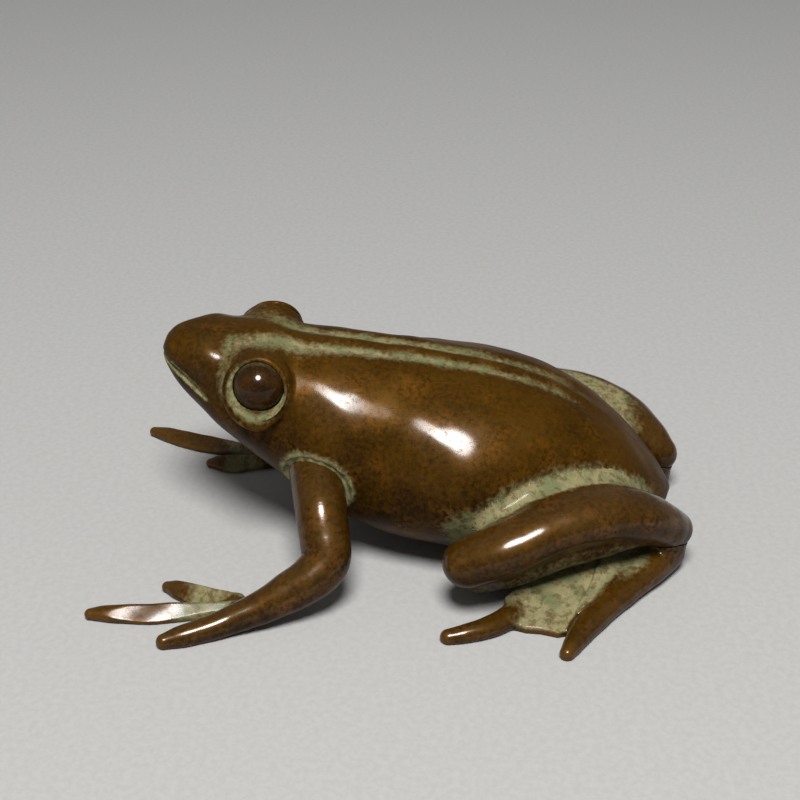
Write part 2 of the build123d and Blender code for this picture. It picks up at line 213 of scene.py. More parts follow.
# How distances are worked out: what stands for far away, how near a limb counts, and points at a time
FAR, NEARBY, TINY = 50.0, 2.5, 1e-9
LIMB_POINTS = 20000
SHARES_PER_SPAN = 60


def smooth_rows(rows, step):
    """Rows about one step apart, on a smooth line through the given rows."""
    rows = np.array(rows, float)
    spans = np.linalg.norm(np.diff(rows, axis=0), axis=1)
    places = np.concatenate(([0.0], np.cumsum(spans)))
    last = len(rows) - 1
    fine = []
    slopes = []
    for i in range(last + 1):
        low, high = max(i - 1, 0), min(i + 1, last)
        slopes.append((rows[high] - rows[low]) / (places[high] - places[low]))
    for i, span in enumerate(spans):
        t = np.linspace(0, 1, SHARES_PER_SPAN, endpoint=False)[:, None]
        rise = t * t * (3 - 2 * t)
        bend = span * t * (1 - t) * ((1 - t) * slopes[i] - t * slopes[i + 1])
        fine.append(rows[i] + rise * (rows[i + 1] - rows[i]) + bend)
    fine = np.concatenate([*fine, rows[-1:]])
    along = np.concatenate(([0.0], np.cumsum(np.linalg.norm(np.diff(fine, axis=0), axis=1))))
    even = np.linspace(0, along[-1], max(2, round(along[-1] / step) + 1))
    return np.stack([np.interp(even, along, column) for column in fine.T], 1)


def soft_union(a, b, blend):
    """Two solids joined with a fillet about as wide as the blend."""
    share = np.clip(0.5 + 0.5 * (b - a) / blend, 0, 1)
    return b + (a - b) * share - blend * share * (1 - share)


def soft_cut(a, b, blend):
    """Solid a with b taken out of it, and the edge between them rounded."""
    return -soft_union(-a, b, blend)


def ball(p, middle, radius):
    """Distance from a ball."""
    return np.linalg.norm(p - np.asarray(middle), axis=1) - radius


def bar(p, start, end, radius):
    """Distance from a round bar with flat ends."""
    start, end = np.array(start), np.array(end)
    way = (end - start) / np.linalg.norm(end - start)
    along = (p - start) @ way
    out = np.linalg.norm(p - start - along[:, None] * way, axis=1)
    return np.maximum(out - radius, np.maximum(-along, along - np.linalg.norm(end - start)))


def limb(p, rows):
    """Distance from a limb with elliptic sections and round ends, along a line of fine rows."""
    middles, last = rows[:, :3], len(rows) - 1
    reach = rows[:, 3:].max() + NEARBY
    close = ((p > middles.min(0) - reach) & (p < middles.max(0) + reach)).all(1)
    points = p[close]
    parts = np.array_split(points, 1 + len(points) // LIMB_POINTS)
    at = np.concatenate([np.argmax(part @ middles.T - (middles ** 2).sum(1) / 2, 1) for part in parts])
    slope = np.gradient(rows, axis=0)
    way, turn = slope[at], np.gradient(slope, axis=0)[at]
    share = ((points - middles[at]) * way[:, :3]).sum(1) / (way[:, :3] ** 2).sum(1)
    share = np.clip(share, np.where(at > 0, -1, 0), np.where(at < last, 1, 0))[:, None]
    here = rows[at] + share * way + share ** 2 / 2 * turn
    way = (way + share * turn)[:, :3]
    way = way / np.linalg.norm(way, axis=1, keepdims=True)
    across = np.cross(way, (0, 0, 1))
    across = across / np.linalg.norm(across, axis=1, keepdims=True)
    local = points - here[:, :3]
    sides = [(local * axis).sum(1) for axis in (across, np.cross(across, way), way)]
    halves = (here[:, 3], here[:, 4], here[:, 3])
    full = np.sqrt(sum((side / half) ** 2 for side, half in zip(sides, halves))) + TINY
    steep = np.sqrt(sum((side / half ** 2) ** 2 for side, half in zip(sides, halves))) + TINY
    distance = np.full(len(p), FAR)
    distance[close] = full * (full - 1) / steep
    return distance


def bell(distance, reach):
    """1 at no distance, falling away smoothly over the reach."""
    return np.exp(-(distance / reach) ** 2)


def rising(values, start, width):
    """0 up to the start, then rising evenly to 1 over the width."""
    return np.clip((values - start) / width, 0, 1)


def falling(values, end, width):
    """0 from the end on, and 1 until a width before it."""
    return np.clip((end - values) / width, 0, 1)


def along_table(y, table):
    """A value that changes along the body, from (y, value) pairs."""
    places, values = zip(*table)
    return np.interp(y, places, values)


def on_left(p):
    """Places with those on the right side mirrored to the left."""
    return np.abs(p * (1, 0, 0)) + p * (0, 1, 1)


BODY_LINE = smooth_rows(BODY_SECTIONS, BODY_STEP)


def body_at(y):
    """Back, belly, half width and widest height of the body at y."""
    return [np.interp(y, BODY_LINE[:, 0], column) for column in BODY_LINE[:, 1:].T]


def flank(y, z):
    """How far out the body's side is at y and z."""
    back, belly, half_width, widest = body_at(y)
    reach = back - widest if z > widest else widest - belly
    return half_width * (1 - (abs(z - widest) / reach) ** SQUARENESS) ** (1 / SQUARENESS)


def body_form(p):
    """Distance from the plain body form, which planes under the head and beside the tail bound far out."""
    def fullness(q):
        back, belly, half_width, widest = body_at(q[:, 1])
        rise = q[:, 2] - widest
        reach = np.where(rise > 0, back - widest, widest - belly)
        sides = np.abs(q[:, 0] / half_width) ** SQUARENESS + np.abs(rise / reach) ** SQUARENESS
        return sides ** (1 / SQUARENESS)

    x, y, z = p.T
    step = 0.02
    here = fullness(p)
    slope = np.sqrt(sum(((fullness(p + step * axis) - here) / step) ** 2 for axis in np.eye(3)))
    form = (here - 1) / np.maximum(slope, 1 / FAR)
    ends = np.maximum(BODY_LINE[0, 0] - y, y - BODY_LINE[-1, 0])
    under_head = UNDER_HEAD_Z - UNDER_HEAD_SLOPE * (y - UNDER_HEAD_Y) - z
    under_head = under_head / math.hypot(1, UNDER_HEAD_SLOPE)
    beside_tail = np.abs(x) - BESIDE_TAIL_X + BESIDE_TAIL_SLOPE * (y - BESIDE_TAIL_Y)
    beside_tail = beside_tail / math.hypot(1, BESIDE_TAIL_SLOPE)
    return np.max([form, ends, under_head, beside_tail], axis=0)


def along_flank(rows):
    """Rows that stand out from the flank, as rows of a limb."""
    return [(flank(y, z) + out, y, z, wide, high) for y, out, z, wide, high in rows]


SHOULDER_X = flank(SHOULDER_Y, SHOULDER_Z) - SHOULDER_SINK
SHOULDER = (SHOULDER_X, SHOULDER_Y, SHOULDER_Z, SHOULDER_RADIUS, SHOULDER_RADIUS)
ARM_ROOT = smooth_rows((SHOULDER, *UPPER_ARM, ELBOW), LIMB_STEP)
THIGH = smooth_rows([HEEL, *along_flank(THIGH_ROWS)], LIMB_STEP)
SHANK = smooth_rows(along_flank(SHANK_ROWS), LIMB_STEP)
MOUTH_LINE = smooth_rows(MOUTH, LIMB_STEP)
WAVES = np.random.default_rng(11).normal(0, WAVE_SPREAD, (WAVE_COUNT, 3))
WAVE_STARTS = np.random.default_rng(12).uniform(0, 2 * math.pi, WAVE_COUNT)


def waver(p):
    """The slight unevenness of wax that was worked by hand."""
    return WAVER * sum(np.sin(p @ wave + start) for wave, start in zip(WAVES, WAVE_STARTS))


def folded_leg(p):
    """Distance from the thigh with the shank folded under it."""
    return soft_union(limb(p, THIGH), limb(p, SHANK), FOLD_BLEND)


def around_eye(p):
    """Distance out from the eye's axis, and how far a place lies to the top and rear of it, from 0 to 1."""
    rearward, up = p[:, 1] - EYE[1], p[:, 2] - EYE[2]
    out = np.hypot(rearward, up) + TINY
    return out, np.clip(0.5 + 0.5 * (LIP_THICKEST_UP * up + LIP_THICKEST_REARWARD * rearward) / out, 0, 1)


def on_back(y, z):
    """0 below the widest line of the body, rising to 1 on its back."""
    return rising(z, body_at(y)[3], BACK_RISE)


def hollow_middle(y):
    """How far from the spine the hollow beside it lies."""
    return along_table(y, STRIP_HALF_WIDTH) + HOLLOW_HALF_WIDTH


def eyelid(p, out):
    """Distance from the thick round lid that swells out of the head and that the eye looks out of."""
    up = p[:, 2] - EYE[2]
    face = LID_FACE_X - LID_TILT * np.maximum(p[:, 1] - EYE[1], 0) - LID_LOOK * up
    flare = (LID_RADIUS - LID_ROOT_RADIUS) / (LID_FACE_X - LID_ROOT_X)
    out = np.where(up > 0, np.hypot(p[:, 1] - EYE[1], LID_SQUASH * up), out)
    beyond = out - LID_RADIUS - flare * (p[:, 0] - LID_FACE_X) + LID_ROUND, p[:, 0] - face + LID_ROUND
    return np.hypot(*np.maximum(beyond, 0)) + np.minimum(np.maximum(*beyond), 0) - LID_ROUND


def body_skin(p):
    """Distance from the worked outside of the body, on the left side."""
    x, y, z = p.T
    out, top_rear = around_eye(p)
    lid_blend = LID_BLEND + LID_TOP_BLEND * rising(z, LID_TOP_Z, LID_TOP_RISE)
    skin = soft_union(body_form(p), eyelid(p, out), lid_blend)
    hollow = along_table(y, HOLLOW_DEPTH) * bell(x - hollow_middle(y), HOLLOW_HALF_WIDTH)
    strip = STRIP_RISE * bell(x, along_table(y, STRIP_HALF_WIDTH)) * bell(y, STRIP_REACH)
    skin = skin + on_back(y, z) * (hollow - strip)
    for middle, reach, height in SWELLINGS:
        skin = skin - height * bell(np.linalg.norm((p - middle) / reach, axis=1), 1)
    lip_x = LIP_X - LID_LOOK * (z - EYE[2])
    lip = np.hypot(out - LIP_RADIUS, x - lip_x) - LIP_THIN - (LIP_THICK - LIP_THIN) * top_rear
    skin = soft_union(skin, lip, LIP_BLEND)
    skin = soft_cut(skin, ball(p, EYE, EYE_RADIUS + PLAY), SOCKET_EDGE)
    skin = soft_cut(skin, limb(p, MOUTH_LINE), MOUTH_EDGE)
    skin = skin + NOSTRIL_DEPTH * bell(np.linalg.norm(p - NOSTRIL, axis=1), NOSTRIL_REACH)
    to_arm = limb(p, ARM_ROOT)
    first, second = (np.sin(along * y + up * z) for along, up in SEAM_WAVES)
    ragged = 1 + SEAM_RAGGED * first * second
    skin = skin - SEAM_RISE * ragged * bell(to_arm - SEAM_OUT, SEAM_WIDTH)
    skin = skin + GROOVE_DEPTH * bell(to_arm - GROOVE_OUT, GROOVE_WIDTH)
    return skin + waver(p)


def stadium(p, length, width, top):
    """Distance from an upright prism with round ends along Y, from below up to its top."""
    beyond = np.maximum(np.abs(p[:, 1] - PLATE_MIDDLE_Y) - (length - width) / 2, 0)
    return np.maximum(np.hypot(p[:, 0], beyond) - width / 2, p[:, 2] - top)


def tenon_seat(p, y, z, radius):
    """Distance from a leg tenon, from its end inside the cavity to well outside the flank."""
    out = flank(y, z)
    return bar(p, (out - WALL - TENON_REACH, y, z), (out + radius, y, z), radius)


_, PLATE_BOTTOM, _, OPENING_TOP = body_at(PLATE_MIDDLE_Y)
PLATE_TOP = PLATE_BOTTOM + PLATE_THICKNESS
OPENING_LENGTH, OPENING_WIDTH = PLATE_LENGTH - 2 * LEDGE_WIDTH, PLATE_WIDTH - 2 * LEDGE_WIDTH


def body_casting(p):
    """Distance from the hollow casting with all its seats."""
    p = on_left(p)
    cavity_ends = np.maximum(CAVITY_FRONT_Y - p[:, 1], p[:, 1] - CAVITY_REAR_Y)
    cuts = [
        np.maximum(body_form(p) + WALL, cavity_ends),
        stadium(p, OPENING_LENGTH, OPENING_WIDTH, OPENING_TOP),
        stadium(p, PLATE_LENGTH, PLATE_WIDTH, PLATE_TOP),
        tenon_seat(p, SHOULDER_Y, SHOULDER_Z, FRONT_TENON_RADIUS + PLAY),
        tenon_seat(p, HIP_Y, HIP_Z, HIND_TENON_RADIUS + PLAY),
        bar(p, EYE, EYE - (EYE_RADIUS + STEM_LENGTH + PLAY, 0, 0), STEM_RADIUS + PLAY),
    ]
    pin_x, pin_top = (PLATE_WIDTH - LEDGE_WIDTH) / 2, PLATE_TOP + PLATE_PIN_BITE + PLAY
    for pin_y in (PLATE_MIDDLE_Y - PLATE_PIN_SPACING / 2, PLATE_MIDDLE_Y + PLATE_PIN_SPACING / 2):
        cuts.append(bar(p, (pin_x, pin_y, 0), (pin_x, pin_y, pin_top), PLATE_PIN_RADIUS + PLAY))
    return np.maximum(body_skin(p), -np.min(cuts, axis=0))


def body_stain(p):
    """Where verdigris lies on the body, from 0 to 1."""
    right = p[:, 0] < 0
    p = on_left(p)
    x, y, z = p.T
    aside = x - hollow_middle(y)
    spread = HOLLOW_HALF_WIDTH * (1 + BROW_SPREAD * bell(y - BROW_Y, BROW_REACH))
    width = np.where(aside > 0, SPINE_STAIN_OUTER, SPINE_STAIN_INNER) * spread
    spine = on_back(y, z) * along_table(y, SPINE_STAIN) * bell(aside, width)
    spine = spine * (1 - RIGHT_BROW_LESS * right * bell(y - RIGHT_BROW_Y, RIGHT_BROW_REACH))
    out, top_rear = around_eye(p)
    ring = bell(out - RING_RADIUS, RING_WIDTH) * (x > RING_FROM_X)
    ring = ring * np.clip(RING_BELOW - RING_FALL * top_rear, 0, 1)
    cheek = CHEEK_STAIN * bell(out - CHEEK_RADIUS, CHEEK_WIDTH) * (x > CHEEK_FROM_X)
    cheek = cheek * falling(y, CHEEK_END_Y, CHEEK_FADE)
    mouth = bell(limb(p, MOUTH_LINE), MOUTH_STAIN_WIDTH)
    seam = bell(limb(p, ARM_ROOT) - SEAM_STAIN_OUT, SEAM_STAIN_WIDTH)
    trough = bell(np.maximum(folded_leg(p) - TROUGH_START, 0), TROUGH_REACH)
    return np.max([spine, ring, cheek, mouth, seam, trough], axis=0)


def body_polish(p):
    """How bright the body is buffed, from 0 to 1."""
    p = on_left(p)
    bright = [bell(np.linalg.norm((p - middle) / reach, axis=1), 1) for middle, reach in BUFFED]
    return LEAST_BUFFED + (1 - LEAST_BUFFED) * np.max(bright, axis=0)


# How a surface is found: grid places to a block, parts worked out at a time, and how points are set on it
BLOCK = 4
COARSE_PARTS, FINE_PARTS = 8, 24
SETTLING_ROUNDS = 2
LEAST_SLOPE = 0.2
SHARP_FROM = math.radians(50)
SOLIDS = []


def largest_part(points, quads):
    """The largest connected part of a mesh, without the crumbs that a thin edge leaves."""
    label = np.arange(len(points))
    while True:
        lower = label.copy()
        np.minimum.at(lower, quads.ravel(), np.repeat(label[quads].min(1), 4))
        lower = lower[lower]
        if (lower == label).all():
            break
        label = lower
    keep = label == np.bincount(label).argmax()
    places = np.cumsum(keep) - 1
    return points[keep], places[quads[keep[quads[:, 0]]]]


def grid_places(counts):
    """All places of a grid with these counts, one row each."""
    return np.stack(np.meshgrid(*map(np.arange, counts), indexing="ij"), -1).reshape(-1, 3)


def surface(field, box, voxel, signs):
    """Points and four-sided faces where a field is zero, found on a grid and then set on the surface.
    The signs are those that the piece is shown with, 1 as it is and -1 mirrored."""
    low, step = np.array(box[0]), voxel * BLOCK
    counts = np.ceil((np.array(box[1]) - low) / step).astype(int)
    cells = grid_places(counts)
    half = (BLOCK - 1) / 2 * voxel
    parts = np.array_split(cells, COARSE_PARTS)
    middles = np.concatenate([field(low + part * step + half) for part in parts])
    near = cells[np.abs(middles) < step + voxel]
    places = (near[:, None, :] * BLOCK + grid_places([BLOCK] * 3)).reshape(-1, 3)
    parts = np.array_split(places, FINE_PARTS)
    values = np.concatenate([field(low + part * voxel) for part in parts])
    grid = np.sign(middles).reshape(counts).astype(np.float32) * step
    for axis in range(3):
        grid = np.repeat(grid, BLOCK, axis)
    grid[tuple(places.T)] = values
    SOLIDS.append((low, voxel, grid < 0, signs))
    volume = openvdb.FloatGrid(step)
    volume.copyFromArray(grid)
    points, quads = volume.convertToQuads(0.0)
    points, quads = largest_part(low + np.array(points, float) * voxel, np.array(quads))
    nudge = voxel / 4
    for _ in range(SETTLING_ROUNDS):
        here = field(points)
        slope = np.stack([field(points + nudge * axis) - here for axis in np.eye(3)], 1) / nudge
        move = -here[:, None] * slope / np.maximum((slope ** 2).sum(1, keepdims=True), LEAST_SLOPE)
        points += np.clip(move, -voxel / 2, voxel / 2)
    return points, quads


def shown(name, points, quads, material, stain, sign=1):
    """A piece of the frog as a smooth mesh with its verdigris stain, mirrored for the right side."""
    first = points[quads[:, 0]]
    turned = np.cross(points[quads[:, 1]] - first, points[quads[:, 2]] - first)
    faces_out = (first * turned).sum() * sign > 0
    faces = quads if faces_out else quads[:, ::-1]
    mesh = bpy.data.meshes.new(name)
    mesh.from_pydata((points * (sign, 1, 1) * MM).tolist(), [], faces.tolist())
    mesh.shade_smooth()
    mesh.set_sharp_from_angle(angle=SHARP_FROM)
    mesh.attributes.new("stain", "FLOAT", "POINT").data.foreach_set("value", stain.astype(np.float32))
    mesh.materials.append(material)
    piece = bpy.data.objects.new(name, mesh)
    bpy.context.scene.collection.objects.link(piece)
    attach(piece, "root")
    return piece


class Value:
    """A socket in a material's nodes, or the nodes as a whole, with arithmetic that adds Math nodes."""

    def __init__(self, tree, socket=None):
        self.tree, self.socket = tree, socket

    def node(self, kind, settings, sockets, output=0):
        """One more node: its type, its settings, values or links of its sockets, and the output to use."""
        node = self.tree.nodes.new(kind)
        for name, setting in settings.items():
            setattr(node, name, setting)
        self.feed(node, sockets)
        return Value(self.tree, node.outputs[output])

    def feed(self, node, sockets):
        """Sets or links the sockets of a node."""
        for name, value in sockets.items():
            if isinstance(value, Value):
                self.tree.links.new(value.socket, node.inputs[name])
            else:
                node.inputs[name].default_value = value

    def math(self, operation, first, second):
        """A Math node on two values or numbers."""
        return self.node("ShaderNodeMath", {"operation": operation}, {0: first, 1: second})

    def __add__(self, other):
        return self.math("ADD", self, other)

    def __sub__(self, other):
        return self.math("SUBTRACT", self, other)

    def __rsub__(self, other):
        return self.math("SUBTRACT", other, self)

    def __mul__(self, other):
        return self.math("MULTIPLY", self, other)

    __radd__ = __add__
    __rmul__ = __mul__

    def ramp(self, low, high):
        """0 up to low, 1 from high on, and smooth between them."""
        sockets = {"Value": self, "From Min": low, "From Max": high}
        return self.node("ShaderNodeMapRange", {"interpolation_type": "SMOOTHSTEP"}, sockets)

    def between(self, first, second):
        """The first colour where this is 0, and the second where it is 1."""
        return self.node("ShaderNodeMix", {"data_type": "RGBA"}, {0: self, 6: first, 7: second}, 2)

    def noise(self, place, scale, detail=2.0, rough=0.5):
        """Cloudy noise with about this many lumps to the millimetre."""
        sockets = {"Vector": place, "Scale": scale, "Detail": detail, "Roughness": rough}
        return self.node("ShaderNodeTexNoise", {}, sockets)

    def stretched(self, place, scale, turn=(0, 0, 0)):
        """Places turned and scaled, so that noise on them runs in streaks."""
        return self.node("ShaderNodeMapping", {}, {"Vector": place, "Rotation": turn, "Scale": scale})

    def bump(self, height, depth, strength):
        """A surface roughened by a height, whose depth is in millimetres."""
        sockets = {"Strength": strength, "Distance": depth * MM, "Height": height}
        return self.node("ShaderNodeBump", {}, sockets)

    def painted(self, name):
        """A value that the mesh holds at its points."""
        return self.node("ShaderNodeAttribute", {"attribute_name": name}, {}, "Fac")

    def in_millimetres(self):
        """Places on the piece, in millimetres."""
        place = self.node("ShaderNodeTexCoord", {}, {}, "Object")
        sockets = {"Vector": place, "Scale": 1 / MM}
        return self.node("ShaderNodeVectorMath", {"operation": "SCALE"}, sockets)


def new_finish(name):
    """A new material, its nodes and its shader."""
    material = bpy.data.materials.new(name)
    material.use_nodes = True
    return material, Value(material.node_tree), material.node_tree.nodes["Principled BSDF"]


DARK_BROWN = (0.014, 0.0055, 0.0006, 1)
BROWN = (0.09, 0.0395, 0.003, 1)
RED_BROWN = (0.15, 0.056, 0.004, 1)
RUBBED_BROWN = (0.15, 0.064, 0.009, 1)
TAN_VERDIGRIS = (0.33, 0.29, 0.145, 1)
GREEN_VERDIGRIS = (0.185, 0.195, 0.09, 1)
WAX_ROUGHNESS = 0.16
METAL_SPECULAR = 0.05
PATINA_DEPTH = 0.034
SCRATCH_TURN, SCRATCH_SCALE = (0.4, 0.3, 0.9), (9.0, 0.5, 3.0)


def patinated_bronze():
    """Waxed brown patina, worn orange on what the hand rubs, with matt verdigris where it is not wiped."""
    material, nodes, shader = new_finish("patinated_bronze")
    place = nodes.in_millimetres()
    mottle = nodes.noise(place, 2.2, 3.0, 0.6)
    cloud = nodes.noise(place, 0.2, 3.0, 0.55)
    patch = nodes.noise(place, 0.45, 2.0, 0.5)
    grain = nodes.noise(place, 7.0, 2.0, 0.6)
    smear = nodes.noise(place, 0.9, 3.0, 0.6)
    worn = (1 - nodes.noise(place, 1.3, 4.0, 0.65).ramp(0.38, 0.52)) * 0.5
    scratch_place = nodes.stretched(place, SCRATCH_SCALE, SCRATCH_TURN)
    scratches = nodes.noise(scratch_place, 1.0, 2.0, 0.5).ramp(0.62, 0.74)

    # The brown is painted lighter where a point faces up and darker where it faces down: painted shade,
    # over the patina's own uneven tone.
    tone_and_shade = mottle * 0.8 + cloud * 0.8 + grain * 0.35 + nodes.painted("upward") * 0.4
    brown = tone_and_shade.ramp(0.75, 1.6).between(DARK_BROWN, BROWN)
    brown = (patch.ramp(0.46, 0.75) * mottle.ramp(0.35, 0.6) * 0.6).between(brown, RED_BROWN)
    brown = ((nodes.painted("rub") + mottle * 0.3).ramp(0.5, 1.25) * 0.6).between(brown, RUBBED_BROWN)

    lying = nodes.painted("stain") * 0.8 + nodes.painted("crevice") * 0.6
    verdigris = (lying + (mottle - 0.5) * 0.6 + (patch - 0.5) * 0.7).ramp(0.2, 0.85)
    green = (patch + (grain - 0.5) * 0.4).ramp(0.42, 0.62).between(TAN_VERDIGRIS, GREEN_VERDIGRIS)
    green = (grain.ramp(0.2, 0.5) * 0.4 + 0.6 - worn).between(brown, green)

    height = grain * 0.4 + mottle * 0.6 - scratches * 0.35 + verdigris * grain * 0.8
    buffed = (mottle * 0.7 + grain * 0.5 + smear * 0.5).ramp(0.52, 0.88)
    nodes.feed(shader, {
        "Base Color": verdigris.between(brown, green),
        "Metallic": (1 - verdigris) * 0.3,
        "Roughness": verdigris * 0.26 + mottle * 0.16 + scratches * 0.1 + 0.34,
        "Specular IOR Level": METAL_SPECULAR,
        "Coat Weight": (1 - verdigris * 0.75) * (buffed * 0.8 + 0.2) * nodes.painted("wax"),
        "Coat Roughness": WAX_ROUGHNESS,
        "Normal": nodes.bump(height, PATINA_DEPTH, 0.6),
    })
    return material


BRONZE = patinated_bronze()
points, quads = surface(body_casting, BODY_BOX, BODY_VOXEL, (1,))
body = shown("body_shell", points, quads, BRONZE, body_stain(points))
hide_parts("body_casting")

# Eyes: solid bronze beads, each on a short stem that is let into the head through the eye socket.
# They are polished smoother than the body, with a little verdigris left at the rim of the socket.
EYE_VOXEL = 0.1
EYE_BOX = ((1.0, -16.3, 15.6), (9.4, -10.1, 21.8))
STEM_BLEND = 0.2
EYE_RIM_RADIUS, EYE_RIM_WIDTH = 2.7, 0.35
EYE_BROWN = (0.07, 0.028, 0.003, 1)
EYE_DARK = (0.02, 0.008, 0.001, 1)
EYE_VERDIGRIS = (0.11, 0.095, 0.045, 1)
EYE_WAX_ROUGHNESS = 0.1
EYE_DEPTH = 0.015
SIDES = {"left": 1, "right": -1}


def eye_bead(p):
    """Distance from a bead on its stem, on the left."""
    stem = bar(p, EYE, EYE - (EYE_RADIUS + STEM_LENGTH, 0, 0), STEM_RADIUS)
    return soft_union(ball(p, EYE, EYE_RADIUS), stem, STEM_BLEND)


def eye_bronze():
    """Polished dark bronze with a breath of verdigris at the rim of the socket."""
    material, nodes, shader = new_finish("eye_bronze")
    place = nodes.in_millimetres()
    mottle = nodes.noise(place, 4.0, 3.0, 0.6)
    cloud = nodes.noise(place, 0.5, 2.0, 0.5)
    rim = (nodes.painted("stain") + (mottle - 0.5) * 0.5).ramp(0.35, 0.8)
    brown = (mottle * 0.5 + cloud * 0.6).ramp(0.4, 0.75).between(EYE_DARK, EYE_BROWN)
    nodes.feed(shader, {
        "Base Color": rim.between(brown, EYE_VERDIGRIS),
        "Metallic": (1 - rim) * 0.3,
        "Roughness": rim * 0.3 + mottle * 0.14 + 0.32,
        "Specular IOR Level": METAL_SPECULAR,
        "Coat Weight": (1 - rim) * nodes.painted("wax") * 0.9,
        "Coat Roughness": EYE_WAX_ROUGHNESS,
        "Normal": nodes.bump(mottle, EYE_DEPTH, 0.35),
    })
    return material


EYE_FINISH = eye_bronze()
points, quads = surface(eye_bead, EYE_BOX, EYE_VOXEL, SIDES.values())
stain = bell(around_eye(points)[0] - EYE_RIM_RADIUS, EYE_RIM_WIDTH)
for side, sign in SIDES.items():
    eye = shown(f"{side}_eye_bead", points, quads, EYE_FINISH, stain, sign)
    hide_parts(f"{side}_eye")

# Belly plate: a cast bronze plate, filed to fit the opening that the casting core came out of. It is held
# by four brass pins that were driven through its rim and filed flush.
PLATE_DARK = (0.045, 0.024, 0.009, 1)
PLATE_BROWN = (0.13, 0.075, 0.028, 1)
BRASS = (0.52, 0.33, 0.1, 1)
DULL_BRASS = (0.2, 0.125, 0.045, 1)
PLATE_METALLIC, PIN_METALLIC = 0.4, 0.9
PLATE_FILING, PIN_FILING = (6.0, 0.4, 2.0), (5.0, 5.0, 0.6)
FILING_DEPTH = 0.02


def filed_metal(name, dark, light, metallic, filing):
    """Bare metal gone dull, with the marks of a file across it."""
    material, nodes, shader = new_finish(name)
    place = nodes.in_millimetres()
    marks = nodes.noise(nodes.stretched(place, filing), 1.0, 3.0, 0.6)
    cloud = nodes.noise(place, 0.6, 3.0, 0.6)
    nodes.feed(shader, {
        "Base Color": (marks * 0.5 + cloud * 0.7).ramp(0.4, 0.8).between(dark, light),
        "Metallic": metallic,
        "Roughness": cloud * 0.3 + 0.3,
        "Normal": nodes.bump(marks, FILING_DEPTH, 0.6),
    })
    return material


def dress(node, material):
    """Gives a piece that keeps its own shape a new finish."""
    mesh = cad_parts[node].data
    mesh.materials.clear()
    mesh.materials.append(material)


PLATE_FINISH = filed_metal("filed_plate_bronze", PLATE_DARK, PLATE_BROWN, PLATE_METALLIC, PLATE_FILING)
PIN_FINISH = filed_metal("pin_brass", DULL_BRASS, BRASS, PIN_METALLIC, PIN_FILING)
dress("belly_plate", PLATE_FINISH)
dress("belly_plate_pins", PIN_FINISH)

# Front legs: each is one bronze casting of arm and hand, with a tenon that goes through the flank and is
# held inside by a brass pin. The forearm runs on into the outer finger, and the other two fingers are
# keeled leaves. The right forearm is turned further in than the left one.
LEG_VOXEL = 0.12
FRONT_LEG_BOX = ((2.8, -29.6, -0.3), (23.4, -2.6, 14.2))
FOREARM = (
    # share of the way from elbow to wrist, how far it bows outward and down, radius
    (0.18, 0.5, 0.45, 2.15),
    (0.48, 0.35, 0.5, 1.95),
    (0.78, 0.2, 0.3, 1.6),
)
WRIST_Y, WRIST_Z, WRIST_RADIUS = -13.8, 1.65, 1.42
WRISTS_X = (19.3, 13.6)
FINGER_TIPS = (
    # x and y of the outer, middle and inner tip, on the left hand and then on the right one
    ((22.3, -20.9), (18.3, -28.6), (13.6, -22.0)),
    ((18.7, -20.0), (16.2, -28.6), (9.6, -21.2)),
)
FINGER_Z = 0.55
OUTER_FINGER = (
    # share of the way from wrist to tip, radius
    (0.4, 1.22),
    (0.75, 1.08),
    (1.0, 0.75),
)
OUTER_START_Z, OUTER_TIP_RISE = 1.2, 0.05
LEAF_SHAPE = (
    # share of the way from palm to tip, half width, half height
    (0.0, 0.7, 0.85),
    (0.25, 1.0, 1.05),
    (0.55, 1.55, 1.1),
    (0.82, 1.2, 0.85),
    (1.0, 0.57, 0.5),
)
LEAF_INSETS = (2.3, 3.5)
LEAF_ROOT_AHEAD, LEAF_ROOT_RISE = 1.1, 0.15
LEAF_BLEND = 0.3
KEEL_HEIGHT, KEEL_EDGE = 0.68, 0.12
KEEL_SLOPES = (39, -36)
PALM_HALVES = ((0.9, 0.8), (0.8, 0.7))
PALM_AT_WRIST, PALM_BLEND = 0.7, 0.4
TABLE_EDGE = 0.2
TENON_PIN_INSET, TENON_PIN_RADIUS, TENON_PIN_OVERHANG = 0.9, 0.4, 0.6

# Verdigris: where it starts or ends, how wide it fades, and its strength
SHOULDER_STAIN_REACH, SHOULDER_STAIN = 0.45, 0.8
FOREARM_STAIN_Y, FOREARM_STAIN_REACH, FOREARM_STAIN = -12.0, 3.0, 0.7
FOREARM_INNER = (0.3, 0.5)
BELOW_ELBOW = (ELBOW[2] - 0.3, 1.2)
LEAF_CLEAN_FROM = (0.55, 0.92)
LEAF_CLEAN_FADE, LEAF_STAIN = 0.25, 0.9
ON_LEAF, CLEAR_OF_ARM = (0.1, 0.1), (0.0, 0.3)


def towards(start, end, share):
    """The point a share of the way from start to end."""
    return tuple(a + share * (b - a) for a, b in zip(start, end))


def on_table(solid, p):
    """A solid cut flat where it stands on the table, with a soft edge."""
    return -soft_union(-solid, p[:, 2], TABLE_EDGE)


def leaf_finger(p, root, tip):
    """Distance from a finger that widens like a leaf and has a keel along its top."""
    rows = [(*towards(root, tip, share), wide, high) for share, wide, high in LEAF_SHAPE]
    finger = limb(p, smooth_rows(rows, LIMB_STEP))
    way = np.array(tip) - np.array(root)
    across = np.cross(way, (0, 0, 1)) / np.linalg.norm(way)
    for slope in KEEL_SLOPES:
        tilt = math.radians(slope)
        facing = across * math.sin(tilt) + np.array((0, 0, math.cos(tilt)))
        facet = (p - root) @ facing - KEEL_HEIGHT
        finger = -soft_union(-finger, -facet, KEEL_EDGE)
    return finger


